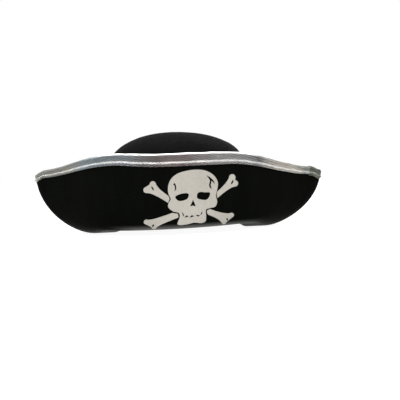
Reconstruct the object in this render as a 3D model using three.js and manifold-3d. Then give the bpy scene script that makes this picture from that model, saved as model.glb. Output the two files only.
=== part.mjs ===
// Costume pirate hat: a felt crown, a felt brim turned up front and back into a boat shape,
// a silver cloth binding round the brim's edge and a skull and crossbones in heat-pressed film.
// Millimetres. +Z is up, the front of the hat faces -Y, and the side shelves of the brim rest on z = 0.

import * as THREE from 'three';
import { ParametricGeometry } from 'three/addons/geometries/ParametricGeometry.js';
import { mergeVertices } from 'three/addons/utils/BufferGeometryUtils.js';
import Module from 'manifold-3d';

// Head opening and crown
const HEAD_HALF_WIDTH = 87;         // outside of the crown at the head opening, left to right
const HEAD_HALF_DEPTH = 100;        // outside of the crown at the head opening, front to back
const CROWN_BULGE = 3;              // how much wider the crown is at its shoulder
const CROWN_SHOULDER = 86.5;        // height where the dome starts
const CROWN_HEIGHT = 128.5;
const CROWN_TILT = 0.042;           // the soft dome stands a little lower towards +X
const CROWN_SWAY = 0.02;            // and leans that way
const CROWN_DENT = 5;               // its shoulder towards +X is pushed in
const DENT_POWER = 8;
const DOME_SHARE = 0.6;             // share of the crown's profile that is dome
const CROWN_RIM_LIFT = 0.6;         // the crown's cut edge above the underside of the brim
const FELT = 2;                     // thickness of the crown and the brim

// Brim
const SHELF_HALF_LENGTH = 113;      // flat underside, left to right
const SHELF_HALF_DEPTH = 103;
const BRIM_HALF_LENGTH = 188.5;     // at the tips
const BRIM_HALF_DEPTH = 110;        // of the upright front and back walls
const KEEL_RISE = 68;               // height over which the brim flares out to the tips
const KEEL_EXPONENT = 1.8;
const KEEL_SKEW = 0.06;             // the flare is straighter towards +X
const FOLD_RADIUS = 8;              // of the fold at the foot of the front and back walls
const PINCH = 2.6;                  // how sharply the walls close in towards the tips
const PINCH_HEIGHT = 70;
const PINCH_POWER = 5;
const WALL_LEAN_IN = 2;             // how far the top of the wall leans back to the crown
const FOLD_LIFT = 7.5;              // the front and back folds stand higher than the side shelves
const LIFT_RANGE = [0.1, 0.7];      // sines of the angles where that lift begins and is full
const LIFT_FADE = 60;               // height where the lift has died away
const FOLD_SKEW = 0.015;            // the fold climbs a little towards +X

// Brim edge: height at the middle and tips, and its uneven, hand-bent line
const EDGE_MIDDLE = 99;
const EDGE_TIP = 77;
const EDGE_FALL = [0.34, 0.98];     // shares of the half length between which the edge falls
const EDGE_RISE_LEFT = 7.2;         // bent up towards -X
const EDGE_SAG_RIGHT = 3;           // and down towards +X
const SKEW_RANGE = [0.1, 0.75];
const BACK_EDGE_DROP = 3;
const CORNER_START = 0.93;          // share of the half length where the tips' corners round off
const CORNER_DROP_LEFT = 5;
const CORNER_DROP_RIGHT = 5;

// Binding, threads and sweatband
const GAP = 0.3;                    // clearance kept between pieces that touch
const CLOTH = 0.8;
const BINDING_TIP_WIDTH = 8.8;
const BINDING_EXTRA_WIDTH = 6.2;    // added at the middle of the front and back
const SEAM_SHARE = 0.3;             // line of stitches, as a share of the width from the lower edge
const THREAD = 0.8;
const SWEATBAND = 1;
const SWEATBAND_BOTTOM = 2.5;
const SWEATBAND_TOP = 30;
const SWEATBAND_SEAM = 3;           // stitches above the sweatband's lower edge

// Film motif
const FILM = 0.5;
const MOTIF_X = 18;
const MOTIF_Z = 46.7;
const MOTIF_TILT = THREE.MathUtils.degToRad(1.5);

// Label and tacks
const LABEL_HALF_ANGLE = 0.11;     // half of the arc that it covers at the back
const LABEL_TOP = 27;
const LABEL_BOTTOM = 8;
const TACK_DROP = 24;               // below the edge, under the binding
const TACK_ANGLE = 0.2;
const TACK_RADIUS = 0.9;

const RING_STEPS = 64;
const WALL_STEPS = 9;
const SHELF_STEPS = 2;

const clamp01 = (value) => THREE.MathUtils.clamp(value, 0, 1);
const lerp = THREE.MathUtils.lerp;

// ---------------------------------------------------------------- brim surface

// Half length and half depth of the brim's outer face at a height above the shelf.
function halfLength(height, angle) {
  const left = clamp01(1 - height / KEEL_RISE);
  const exponent = KEEL_EXPONENT - KEEL_SKEW * Math.max(Math.cos(angle), 0) ** 2;
  const reach = (1 - left ** exponent) ** (1 / exponent);
  return lerp(SHELF_HALF_LENGTH, BRIM_HALF_LENGTH, reach);
}

function halfDepth(height) {
  const left = clamp01(1 - height / FOLD_RADIUS);
  const reach = Math.sqrt(1 - left * left);
  const lean = WALL_LEAN_IN * (height / EDGE_MIDDLE) ** 2;
  return lerp(SHELF_HALF_DEPTH, BRIM_HALF_DEPTH, reach) - lean;
}

function foldLift(angle, height) {
  const rise = THREE.MathUtils.smoothstep(Math.abs(Math.sin(angle)), ...LIFT_RANGE);
  const skew = FOLD_SKEW * SHELF_HALF_LENGTH * Math.cos(angle);
  return rise * (FOLD_LIFT + skew) * clamp01(1 - height / LIFT_FADE) ** 2;
}

// Height of the brim's edge at a share of the half length, from -1 to 1, before it is bent.
function edgeHeight(share, isBack) {
  const fall = THREE.MathUtils.smoothstep(Math.abs(share), ...EDGE_FALL);
  const middle = EDGE_MIDDLE - (isBack ? BACK_EDGE_DROP * (1 - share * share) : 0);
  const cornerDrop = share < 0 ? CORNER_DROP_LEFT : CORNER_DROP_RIGHT;
  const corner = THREE.MathUtils.smoothstep(Math.abs(share), CORNER_START, 1);
  return lerp(middle, EDGE_TIP, fall) - cornerDrop * corner;
}

// How far the hand-bent edge stands below that height.
function edgeSag(share) {
  const sag = share < 0 ? -EDGE_RISE_LEFT : EDGE_SAG_RIGHT;
  return sag * THREE.MathUtils.smoothstep(Math.abs(share), ...SKEW_RANGE);
}

const topAt = (angle) => edgeHeight(Math.cos(angle), Math.sin(angle) > 0);

function brimAt(angle, height) {
  const pinch = PINCH * (1 - clamp01(1 - height / PINCH_HEIGHT) ** 2);
  const closing = 1 + pinch * Math.abs(Math.cos(angle)) ** PINCH_POWER;
  const bend = 1 - edgeSag(Math.cos(angle)) / topAt(angle);
  return new THREE.Vector3(
    halfLength(height, angle) * Math.cos(angle),
    halfDepth(height) * Math.sin(angle) / closing,
    height * bend + foldLift(angle, height),
  );
}

// Outer face of the brim. rise runs from -1 at the head opening, through 0 where the shelf
// turns up, to 1 at the edge.
function brimPoint(angle, rise) {
  if (rise >= 0) return brimAt(angle, topAt(angle) * rise * rise);
  const rim = brimAt(angle, 0);
  const head = headPoint(angle, GAP);
  return rim.lerp(new THREE.Vector3(head.x, head.y, rim.z), -rise);
}

function headPoint(angle, outside) {
  return new THREE.Vector3(
    (HEAD_HALF_WIDTH + outside) * Math.cos(angle),
    (HEAD_HALF_DEPTH + outside) * Math.sin(angle),
    0,
  );
}

// Direction that points out of the hat's outer face.
function brimNormal(angle, rise) {
  if (rise < 0) return new THREE.Vector3(0, 0, -1);
  const step = 1e-3;
  const low = Math.max(rise - step, 0.02);
  const along = brimPoint(angle + step, rise).sub(brimPoint(angle - step, rise));
  const up = brimPoint(angle, low + 2 * step).sub(brimPoint(angle, low));
  return along.cross(up).normalize();
}

const offBrim = (angle, rise, outside) =>
  brimPoint(angle, rise).addScaledVector(brimNormal(angle, rise), outside);

// A point a given distance below the brim's edge, off its outer face, or off its inner face
// where outside is negative. The top course of the wall is straight, as the binding on it is.
function belowEdge(angle, drop, outside) {
  const course = 1 - 1 / WALL_STEPS;
  const face = outside < 0 ? -FELT : 0;
  const edge = offBrim(angle, 1, face);
  const down = offBrim(angle, course, face).sub(edge).normalize();
  return edge.addScaledVector(down, drop).addScaledVector(brimNormal(angle, 1), outside - face);
}

// ---------------------------------------------------------------- solids

// A closed ring: section(angle) gives the corners of its cross-section at each angle.
function ring(section, steps = RING_STEPS) {
  const sections = [];
  for (let i = 0; i < steps; i += 1) {
    sections.push(section((2 * Math.PI * i) / steps));
  }
  const corners = sections[0].length;
  const surface = (u, v, target) => {
    const column = sections[Math.round(u * steps) % steps];
    target.copy(column[Math.round(v * corners) % corners]);
  };
  return new ParametricGeometry(surface, steps, corners);
}

function brimSection(angle) {
  const rises = [];
  for (let i = 0; i < SHELF_STEPS; i += 1) {
    rises.push(i / SHELF_STEPS - 1);
  }
  for (let i = 0; i <= WALL_STEPS; i += 1) {
    rises.push(i / WALL_STEPS);
  }
  const outer = rises.map((rise) => offBrim(angle, rise, 0));
  const inner = rises.map((rise) => offBrim(angle, rise, -FELT));
  return [...outer, ...inner.reverse()];
}

const bindingWidth = (angle) =>
  BINDING_TIP_WIDTH + BINDING_EXTRA_WIDTH * Math.abs(Math.sin(angle)) ** 3;

// The binding is a strip folded over the felt edge, so its section is a U.
function bindingSection(angle) {
  const width = bindingWidth(angle);
  const outer = GAP + CLOTH;
  const inner = FELT + GAP + CLOTH;
  const corners = [
    [width, outer], [width / 2, outer], [0, outer],
    [-outer, outer / 2], [-outer, -inner + outer / 2],
    [0, -inner], [width / 2, -inner], [width, -inner],
    [width, CLOTH - inner], [width / 2, CLOTH - inner], [0, CLOTH - inner],
    [-GAP, CLOTH - inner], [-GAP, GAP],
    [0, GAP], [width / 2, GAP], [width, GAP],
  ];
  return corners.map(([drop, outside]) => belowEdge(angle, drop, outside));
}

// A sewn line of thread lying on the binding, outside or inside the brim.
function bindingThread(side) {
  return ring((angle) => {
    const face = side > 0 ? GAP + CLOTH : -(FELT + GAP + CLOTH);
    const drop = bindingWidth(angle) * (1 - SEAM_SHARE);
    const near = face + side * GAP;
    const far = near + side * THREAD;
    const corners = [
      [drop, near], [drop - THREAD / 2, (near + far) / 2],
      [drop, far], [drop + THREAD / 2, (near + far) / 2],
    ];
    const ordered = side > 0 ? corners.reverse() : corners;
    return ordered.map(([below, outside]) => belowEdge(angle, below, outside));
  });
}

// ---------------------------------------------------------------- crown

// The crown's profile, from 0 at the apex to 1 at the rim: half width, height and how far the
// oval has opened.
function crownProfile(share, inset) {
  const shoulder = HEAD_HALF_WIDTH + CROWN_BULGE - inset;
  if (share < DOME_SHARE) {
    const climb = (Math.PI / 2) * (1 - share / DOME_SHARE);
    const rise = CROWN_HEIGHT - CROWN_SHOULDER - inset;
    const open = Math.cos(climb);
    return { reach: shoulder * open, z: CROWN_SHOULDER + rise * Math.sin(climb), open };
  }
  const down = (share - DOME_SHARE) / (1 - DOME_SHARE);
  return { reach: shoulder - CROWN_BULGE * down * down, z: CROWN_SHOULDER * (1 - down), open: 1 };
}

function crownPoint(angle, share, inset) {
  const { reach, z, open } = crownProfile(share, inset);
  const down = clamp01(1 - z / CROWN_SHOULDER);
  const upper = clamp01(z / CROWN_HEIGHT);
  const dent = CROWN_DENT * Math.max(Math.cos(angle), 0) ** 2 * open ** DENT_POWER * (1 - down) ** 2;
  const x = reach * Math.cos(angle) - dent;
  return new THREE.Vector3(
    x + CROWN_SWAY * upper * z,
    (reach + (HEAD_HALF_DEPTH - HEAD_HALF_WIDTH) * open) * Math.sin(angle),
    z + (foldLift(angle, 0) + CROWN_RIM_LIFT) * down * down - CROWN_TILT * upper * x,
  );
}

function crownSolid() {
  const rows = 9;
  const surface = (u, v, target) => {
    const row = Math.round(v * (2 * rows + 1));
    const outside = row <= rows;
    const share = outside ? row / rows : (2 * rows + 1 - row) / rows;
    target.copy(crownPoint(2 * Math.PI * (1 - u), share, outside ? 0 : FELT));
  };
  return new ParametricGeometry(surface, RING_STEPS, 2 * rows + 1);
}

// A point inside the crown, off its inner face, at a height below the shoulder.
function insideCrown(angle, height, inwards) {
  const share = lerp(1, DOME_SHARE, height / CROWN_SHOULDER);
  return crownPoint(angle, share, FELT + inwards);
}

function sweatbandSection(angle) {
  const middle = (SWEATBAND_BOTTOM + SWEATBAND_TOP) / 2;
  const near = GAP;
  const far = GAP + SWEATBAND;
  return [
    insideCrown(angle, SWEATBAND_BOTTOM, near), insideCrown(angle, middle, near),
    insideCrown(angle, SWEATBAND_TOP, near), insideCrown(angle, SWEATBAND_TOP, far),
    insideCrown(angle, middle, far), insideCrown(angle, SWEATBAND_BOTTOM, far),
  ];
}

function sweatbandThreadSection(angle) {
  const height = SWEATBAND_BOTTOM + SWEATBAND_SEAM;
  const near = 2 * GAP + SWEATBAND;
  const middle = near + THREAD / 2;
  return [
    insideCrown(angle, height, near), insideCrown(angle, height + THREAD / 2, middle),
    insideCrown(angle, height, near + THREAD), insideCrown(angle, height - THREAD / 2, middle),
  ];
}

// ---------------------------------------------------------------- manifold cuts

const wasm = await Module();
wasm.setup();

function toManifold(geometry) {
  const bare = new THREE.BufferGeometry();
  bare.setAttribute('position', geometry.getAttribute('position'));
  bare.setIndex(geometry.getIndex());
  const merged = mergeVertices(bare, 1e-4);
  return new wasm.Manifold(new wasm.Mesh({
    numProp: 3,
    vertProperties: new Float32Array(merged.getAttribute('position').array),
    triVerts: new Uint32Array(merged.getIndex().array),
  }));
}

function toGeometry(solid) {
  const mesh = solid.getMesh();
  const geometry = new THREE.BufferGeometry();
  geometry.setAttribute('position', new THREE.BufferAttribute(mesh.vertProperties, 3));
  geometry.setIndex(new THREE.BufferAttribute(mesh.triVerts, 1));
  geometry.computeVertexNormals();
  return geometry;
}

// ---------------------------------------------------------------- film motif

// The film lies on the front wall: a thin skin over the wall, above its fold.
const filmSkin = toManifold(ring((angle) => {
  const rises = [];
  for (let i = 1; i <= WALL_STEPS; i += 1) {
    rises.push(i / WALL_STEPS);
  }
  const near = rises.map((rise) => offBrim(angle, rise, GAP));
  const far = rises.map((rise) => offBrim(angle, rise, GAP + FILM));
  return [...far, ...near.reverse()];
}));

// Cuts a flat outline, drawn as seen from the front, out of the film skin.
function filmPiece(shape) {
  const front = 140;
  const depth = 80;
  const prism = new THREE.ExtrudeGeometry(shape, { depth, bevelEnabled: false, curveSegments: 6 });
  prism.deleteAttribute('normal');
  prism.deleteAttribute('uv');
  const whole = mergeVertices(prism, 1e-4);
  whole.rotateZ(MOTIF_TILT);
  whole.rotateX(Math.PI / 2);
  whole.translate(MOTIF_X, depth - front, MOTIF_Z);
  return toGeometry(toManifold(whole).intersect(filmSkin));
}

// A smooth closed outline through a list of places, in millimetres from the motif's middle.
function smoothOutline(places, steps) {
  const points = places.map(([x, y]) => new THREE.Vector3(x, y, 0));
  const curve = new THREE.CatmullRomCurve3(points, true, 'catmullrom', 0.5);
  const outline = curve.getPoints(steps * places.length).slice(0, -1);
  return outline.map(({ x, y }) => new THREE.Vector2(x, y));
}

// From the top of the skull clockwise: brow, cheek, jaw, chin, and up the other side.
const SKULL = [
  [-0.6, 32.2], [14.1, 30.9], [25.3, 24.6], [30.4, 15.3], [29.4, 7.3], [27.1, -0.8],
  [28, -8.6], [25.4, -14.2], [18.3, -15.8], [13.6, -17.6], [13.4, -24], [12.3, -31],
  [7.2, -33.1], [-1.7, -32], [-10.7, -33.4], [-20, -33.5], [-22, -31], [-18.8, -24],
  [-19.6, -18.8], [-26, -16.6], [-31.8, -11.2], [-30.9, -5.5], [-28.2, -1.4], [-30.5, 5.5],
  [-30.2, 14.5], [-26, 23], [-16.5, 29.4],
];
const EYES = [
  [[-22.2, 1.4], [-15.4, 4.1], [-8.2, 4.5], [-5.9, 2], [-8.9, -2.9], [-16.7, -4.5], [-21, -2.4]],
  [[3.8, -0.9], [4.6, 3], [8, 4.8], [13.5, 4], [19.6, 3.2], [19.2, -1.1], [15.1, -5.1],
    [8.5, -4.5], [4.6, -2.9]],
];
const NOSE = [[-1.4, -4.5], [-2.6, -7.9], [-5.1, -11.6], [-2, -10.8], [1.1, -12], [-0.2, -8.1]];

function skullShape() {
  const shape = new THREE.Shape(smoothOutline(SKULL, 2).reverse());
  const eyes = EYES.map((eye) => new THREE.Path(smoothOutline(eye, 2)));
  const nose = new THREE.Path(NOSE.map(([x, y]) => new THREE.Vector2(x, y)));
  shape.holes.push(...eyes, nose);
  return shape;
}

// Each bone end: the corners of its cut inner end, in turn from its left side to its right
// side as it points outwards, then the middles of its right and left knuckles, their radius and
// the angle in degrees where each turns into the notch between them.
const BONES = {
  bone_upper_left: {
    heel: [[-31.9, -5.6], [-29.5, -1.2], [-30.9, 3]], knuckles: [[-48.7, 18.1], [-56.9, 11.6]],
    radius: 3.7, notch: 35,
  },
  bone_upper_right: {
    heel: [[28.9, 3.6], [28.1, 0.2], [28.7, -4.3]], knuckles: [[51.5, 12], [48.7, 19.7]],
    radius: 3.9, notch: 45,
  },
  bone_lower_left: {
    heel: [[-20.4, -24.4], [-20.6, -19.8], [-27.4, -18.2]], knuckles: [[-59.6, -27.6], [-51, -33.4]],
    radius: 3.3, notch: 10,
  },
  bone_lower_right: {
    heel: [[18.8, -17], [15, -18.2], [14.6, -20.6], [15.8, -23.4]],
    knuckles: [[34.7, -34], [44.8, -26.6]], radius: 2.9, notch: 8,
  },
};

// Adds the knuckle's arc and the shaft's side, which runs along the bone and meets it smoothly.
function boneShape({ heel, knuckles, radius, notch }) {
  const sweep = Math.PI * 0.72;
  const inner = THREE.MathUtils.degToRad(notch);
  const corners = heel.map(([x, y]) => new THREE.Vector2(x, y));
  const middles = knuckles.map(([x, y]) => new THREE.Vector2(x, y));
  const left = corners[0];
  const right = corners[corners.length - 1];
  const start = left.clone().add(right).divideScalar(2);
  const end = middles[0].clone().add(middles[1]).divideScalar(2);
  const axis = end.clone().sub(start).normalize();
  const turn = axis.angle();
  const outline = new THREE.Path([...corners]);
  const side = (from, middle, angle, sign) => {
    const meet = new THREE.Vector2(Math.cos(angle), Math.sin(angle)).multiplyScalar(radius).add(middle);
    const tangent = new THREE.Vector2(-Math.sin(angle), Math.cos(angle)).multiplyScalar(sign);
    const reach = meet.clone().sub(from).cross(axis) / tangent.cross(axis);
    return { meet, control: meet.clone().addScaledVector(tangent, -reach) };
  };
  const lower = side(right, middles[0], turn - sweep, 1);
  const upper = side(left, middles[1], turn + sweep, -1);
  outline.quadraticCurveTo(lower.control.x, lower.control.y, lower.meet.x, lower.meet.y);
  outline.absarc(middles[0].x, middles[0].y, radius, turn - sweep, turn + inner, false);
  outline.absarc(middles[1].x, middles[1].y, radius, turn - inner, turn + sweep, false);
  outline.quadraticCurveTo(upper.control.x, upper.control.y, left.x, left.y);
  return new THREE.Shape(outline.getPoints(5).slice(0, -1));
}

// ---------------------------------------------------------------- label and tacks

// Blank folded label, sewn by its top edge to the back of the sweatband.
function labelGeometry() {
  const columns = 6;
  const near = 2 * GAP + SWEATBAND;
  const corners = [
    [LABEL_BOTTOM, near], [LABEL_TOP, near],
    [LABEL_TOP, near + CLOTH], [LABEL_BOTTOM, near + CLOTH],
  ];
  const rows = corners.length;
  const surface = (u, v, target) => {
    const step = Math.round(u * (columns + 2));
    const share = clamp01((step - 1) / columns);
    const angle = Math.PI / 2 + lerp(-LABEL_HALF_ANGLE, LABEL_HALF_ANGLE, share);
    const ends = step === 0 || step === columns + 2;
    const [height, inwards] = corners[Math.round(v * rows) % rows];
    target.copy(insideCrown(angle, height, inwards));
    if (ends) {
      target.copy(insideCrown(angle, (LABEL_BOTTOM + LABEL_TOP) / 2, near + CLOTH / 2));
    }
  };
  return new ParametricGeometry(surface, columns + 2, rows);
}

// A short bar of thread that ties the wall of the brim back to the crown.
function tackGeometry(angle) {
  const wall = belowEdge(angle, TACK_DROP, -(FELT + GAP));
  const side = Math.sign(Math.sin(angle));
  const sway = (CROWN_SWAY * wall.z * wall.z) / CROWN_HEIGHT;
  const share = (wall.x - sway) / (HEAD_HALF_WIDTH + CROWN_BULGE);
  const crownDepth = (HEAD_HALF_DEPTH + CROWN_BULGE) * Math.sqrt(1 - share * share);
  const length = Math.abs(wall.y) - crownDepth - 2 * GAP;
  const bar = new THREE.CylinderGeometry(TACK_RADIUS, TACK_RADIUS, length, 8);
  bar.translate(wall.x, side * (crownDepth + 2 * GAP + length / 2), wall.z);
  return bar;
}

// ---------------------------------------------------------------- assembly

const hat = new THREE.Group();

function material(color, roughness, metalness = 0) {
  return new THREE.MeshStandardMaterial({ color, roughness, metalness, side: THREE.DoubleSide });
}

function add(name, geometry, finish) {
  const mesh = new THREE.Mesh(geometry, finish);
  mesh.name = name;
  hat.add(mesh);
}

const crownFelt = material(0x232326, 0.95);
const brimFelt = material(0x0a0b09, 0.9);
const silverCloth = material(0x9a9a98, 0.35, 0.8);
const film = material(0xcbc8be, 0.5);
const ribbon = material(0x141414, 0.7);
const silverThread = material(0xd8d8d4, 0.4, 0.5);
const blackThread = material(0x101010, 0.8);
const satin = material(0xe8e6e0, 0.5);

add('crown', crownSolid(), crownFelt);
add('brim', ring(brimSection), brimFelt);
add('edge_trim', ring(bindingSection), silverCloth);
add('trim_stitching_outer', bindingThread(1), silverThread);
add('trim_stitching_inner', bindingThread(-1), silverThread);
add('sweatband', ring(sweatbandSection), ribbon);
add('sweatband_stitching', ring(sweatbandThreadSection), blackThread);
add('care_label', labelGeometry(), satin);
add('skull_motif', filmPiece(skullShape()), film);
for (const [name, bone] of Object.entries(BONES)) {
  add(name, filmPiece(boneShape(bone)), film);
}
const TACKS = {
  front_tack_left: -Math.PI / 2 - TACK_ANGLE,
  front_tack_right: -Math.PI / 2 + TACK_ANGLE,
  back_tack_left: Math.PI / 2 + TACK_ANGLE,
  back_tack_right: Math.PI / 2 - TACK_ANGLE,
};
for (const [name, angle] of Object.entries(TACKS)) {
  add(name, tackGeometry(angle), blackThread);
}

export default hat;
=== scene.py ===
"""Looks of the costume pirate hat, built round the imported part. Metres, +Z up, the front faces -Y.

Lengths in the shape functions are millimetres, as in the part, and turn into metres in the mesh makers.
"""

import math

import bmesh
import bpy
import numpy as np
from mathutils import Matrix, Vector


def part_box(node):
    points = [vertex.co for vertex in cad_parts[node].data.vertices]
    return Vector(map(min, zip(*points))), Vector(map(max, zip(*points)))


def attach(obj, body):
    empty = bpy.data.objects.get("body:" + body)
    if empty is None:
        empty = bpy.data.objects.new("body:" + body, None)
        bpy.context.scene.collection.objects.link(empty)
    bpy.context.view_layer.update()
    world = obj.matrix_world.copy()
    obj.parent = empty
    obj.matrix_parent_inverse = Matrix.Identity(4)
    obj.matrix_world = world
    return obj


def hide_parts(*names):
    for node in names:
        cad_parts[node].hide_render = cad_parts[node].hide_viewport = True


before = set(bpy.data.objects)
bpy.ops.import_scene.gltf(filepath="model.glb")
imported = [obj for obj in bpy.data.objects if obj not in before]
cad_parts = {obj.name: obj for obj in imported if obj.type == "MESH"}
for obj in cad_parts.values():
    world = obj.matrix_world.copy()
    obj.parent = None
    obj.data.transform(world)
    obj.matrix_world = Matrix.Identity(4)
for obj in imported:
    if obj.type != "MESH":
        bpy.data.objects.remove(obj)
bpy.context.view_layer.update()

MM = 0.001
TAU = 2 * math.pi
FRONT = -math.pi / 2


def node_box(node):
    """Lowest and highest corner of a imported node, in millimetres."""
    low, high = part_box(node)
    return np.array(low) / MM, np.array(high) / MM


# ---- sizes, as in the part

HEAD_HALF_WIDTH = 87
HEAD_HALF_DEPTH = 100
CROWN_BULGE = 3
CROWN_SHOULDER = 86.5
CROWN_HEIGHT = node_box("crown")[1][2]
CROWN_TILT = 0.042
CROWN_SWAY = 0.02
CROWN_DENT = 5
DENT_POWER = 8
DOME_SHARE = 0.6
CROWN_RIM_LIFT = 0.6
FELT = 2

SHELF_HALF_LENGTH = 113
SHELF_HALF_DEPTH = 103
BRIM_HALF_LENGTH = node_box("brim")[1][0]
BRIM_HALF_DEPTH = 110
KEEL_RISE = 68
KEEL_EXPONENT = 1.8
KEEL_SKEW = 0.06
FOLD_RADIUS = 8
PINCH = 2.6
PINCH_HEIGHT = 70
PINCH_POWER = 5
WALL_LEAN_IN = 2
FOLD_LIFT = 7.5
LIFT_RANGE = (0.1, 0.7)
LIFT_FADE = 60
FOLD_SKEW = 0.015

EDGE_MIDDLE = 99
EDGE_TIP = 77
EDGE_FALL = (0.34, 0.98)
EDGE_RISE_LEFT = 7.2
EDGE_SAG_RIGHT = 3
SKEW_RANGE = (0.1, 0.75)
BACK_EDGE_DROP = 3
CORNER_START = 0.93
CORNER_DROP = 5
TOP_COURSE = 8 / 9
FELT_SWELL = 0.8

GAP = 0.3
CLOTH = 0.8
BINDING_TIP_WIDTH = 8.8
BINDING_EXTRA_WIDTH = 6.2
SEAM_SHARE = 0.3
SWEATBAND = 1
SWEATBAND_BOTTOM = 2.5
SWEATBAND_TOP = 30
SWEATBAND_SEAM = 3

MOTIF_X = 18
MOTIF_Z = 46.7
MOTIF_TILT = math.radians(1.5)


# ---- small maths

def smoothstep(value, low, high):
    """0 below low, 1 above high, and a soft step between."""
    share = np.clip((value - low) / (high - low), 0, 1)
    return share * share * (3 - 2 * share)


def lumps(points, size, seed, count=14):
    """Smooth random swells, about one each way, with bumps of about the given size."""
    random = np.random.default_rng(seed)
    total = np.zeros(points.shape[:-1])
    for _ in range(count):
        direction = random.normal(size=points.shape[-1])
        direction /= np.linalg.norm(direction)
        wave = size * random.uniform(1.2, 2.6)
        total += np.sin(points @ direction * TAU / wave + random.uniform(0, TAU))
    return total / math.sqrt(count / 2) / 1.5


def along(values, seed, size):
    """Smooth random swells along a line of distances."""
    return lumps(np.asarray(values)[..., None] * np.array([1.0, 0.35]), size, seed)


def point(x, y, z):
    return np.stack(np.broadcast_arrays(x, y, z), axis=-1)


def turns(columns):
    """Angles round the hat, as a column."""
    return np.linspace(0, TAU, columns, endpoint=False)[:, None]


def unit(vectors):
    return vectors / np.linalg.norm(vectors, axis=-1, keepdims=True)


# ---- brim surface

def half_length(height, angle):
    """Half the brim's length at a height, with the rounded keel below."""
    left = np.clip(1 - height / KEEL_RISE, 0, 1)
    exponent = KEEL_EXPONENT - KEEL_SKEW * np.maximum(np.cos(angle), 0) ** 2
    reach = (1 - left ** exponent) ** (1 / exponent)
    return SHELF_HALF_LENGTH + (BRIM_HALF_LENGTH - SHELF_HALF_LENGTH) * reach


def half_depth(height):
    """Half the brim's depth at a height, with the fold below and the wall leaning in above."""
    left = np.clip(1 - height / FOLD_RADIUS, 0, 1)
    reach = np.sqrt(1 - left * left)
    lean = WALL_LEAN_IN * (height / EDGE_MIDDLE) ** 2
    return SHELF_HALF_DEPTH + (BRIM_HALF_DEPTH - SHELF_HALF_DEPTH) * reach - lean


def fold_lift(angle, height):
    """How far the front and back folds are lifted above the two side shelves."""
    rise = smoothstep(np.abs(np.sin(angle)), *LIFT_RANGE)
    skew = FOLD_SKEW * SHELF_HALF_LENGTH * np.cos(angle)
    return rise * (FOLD_LIFT + skew) * np.clip(1 - height / LIFT_FADE, 0, 1) ** 2


def top_at(angle):
    """Height of the brim's edge, before it is bent."""
    share = np.cos(angle)
    fall = smoothstep(np.abs(share), *EDGE_FALL)
    back = np.where(np.sin(angle) > 0, BACK_EDGE_DROP * (1 - share * share), 0)
    middle = EDGE_MIDDLE - back
    corner = smoothstep(np.abs(share), CORNER_START, 1)
    return middle + (EDGE_TIP - middle) * fall - CORNER_DROP * corner


def bend_at(angle):
    """How the brim is bent: a share above 1 raises it, below 1 lowers it."""
    share = np.cos(angle)
    sag = np.where(share < 0, -EDGE_RISE_LEFT, EDGE_SAG_RIGHT)
    return 1 - sag * smoothstep(np.abs(share), *SKEW_RANGE) / top_at(angle)


def brim_at(angle, height):
    """The wall's outer face, pinched together towards the tips."""
    pinch = PINCH * (1 - np.clip(1 - height / PINCH_HEIGHT, 0, 1) ** 2)
    closing = 1 + pinch * np.abs(np.cos(angle)) ** PINCH_POWER
    return point(
        half_length(height, angle) * np.cos(angle),
        half_depth(height) * np.sin(angle) / closing,
        height * bend_at(angle) + fold_lift(angle, height),
    )


def brim_point(angle, rise):
    """Outer face: rise is -1 at the head opening, 0 where the shelf turns up and 1 at the edge."""
    angle, rise = np.broadcast_arrays(angle, rise)
    wall = brim_at(angle, top_at(angle) * np.maximum(rise, 0) ** 2)
    inward = np.maximum(-rise, 0)[..., None]
    head = point(
        (HEAD_HALF_WIDTH + GAP) * np.cos(angle),
        (HEAD_HALF_DEPTH + GAP) * np.sin(angle),
        wall[..., 2],
    )
    return wall + (head - wall) * inward


def brim_normal(angle, rise):
    angle, rise = np.broadcast_arrays(angle, rise)
    step = 1e-3
    low = np.maximum(rise - step, 0.02)
    on_wall = np.maximum(rise, 0)
    across = brim_point(angle + step, on_wall) - brim_point(angle - step, on_wall)
    up = brim_point(angle, low + 2 * step) - brim_point(angle, low)
    wall = unit(np.cross(across, up))
    return np.where((rise < 0)[..., None], np.array([0.0, 0.0, -1.0]), wall)


def felt_swell(angle, rise):
    """Soft unevenness of the hand-turned felt wall, which every piece on it follows."""
    long_waves = 0.5 * np.sin(5 * angle + 0.7) + 0.4 * np.sin(9 * angle + 2.3)
    short_waves = 0.3 * np.sin(17 * angle + 1.1) + 0.18 * np.sin(29 * angle + 4.0)
    return FELT_SWELL * (long_waves + short_waves) * smoothstep(rise, 0.25, 1.0)


def off_brim(angle, rise, outside):
    angle, rise, outside = np.broadcast_arrays(angle, rise, outside)
    move = outside + felt_swell(angle, rise)
    return brim_point(angle, rise) + brim_normal(angle, rise) * move[..., None]


def below_edge(angle, drop, outside):
    """A point below the brim's edge, off its outer face, or off its inner face where outside < 0."""
    angle, drop, outside = np.broadcast_arrays(angle, drop, outside)
    face = np.where(outside < 0, -FELT, 0.0)
    edge = off_brim(angle, 1.0, face)
    down = unit(off_brim(angle, TOP_COURSE, face) - edge)
    normal = brim_normal(angle, 1.0)
    return edge + down * drop[..., None] + normal * (outside - face)[..., None]


def binding_width(angle):
    return BINDING_TIP_WIDTH + BINDING_EXTRA_WIDTH * np.abs(np.sin(angle)) ** 3


EDGE_SAMPLES = 4096
edge_angles = np.linspace(0, TAU, EDGE_SAMPLES + 1)
edge_line = off_brim(edge_angles, 1.0, 0.0)
edge_run = np.concatenate([[0], np.cumsum(np.linalg.norm(np.diff(edge_line, axis=0), axis=1))])
EDGE_LENGTH = edge_run[-1]


def angle_at(run):
    """The angle at a distance round the brim's edge, starting at the +X tip."""
    turns = np.floor(run / EDGE_LENGTH)
    return np.interp(run - turns * EDGE_LENGTH, edge_run, edge_angles) + turns * TAU


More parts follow.
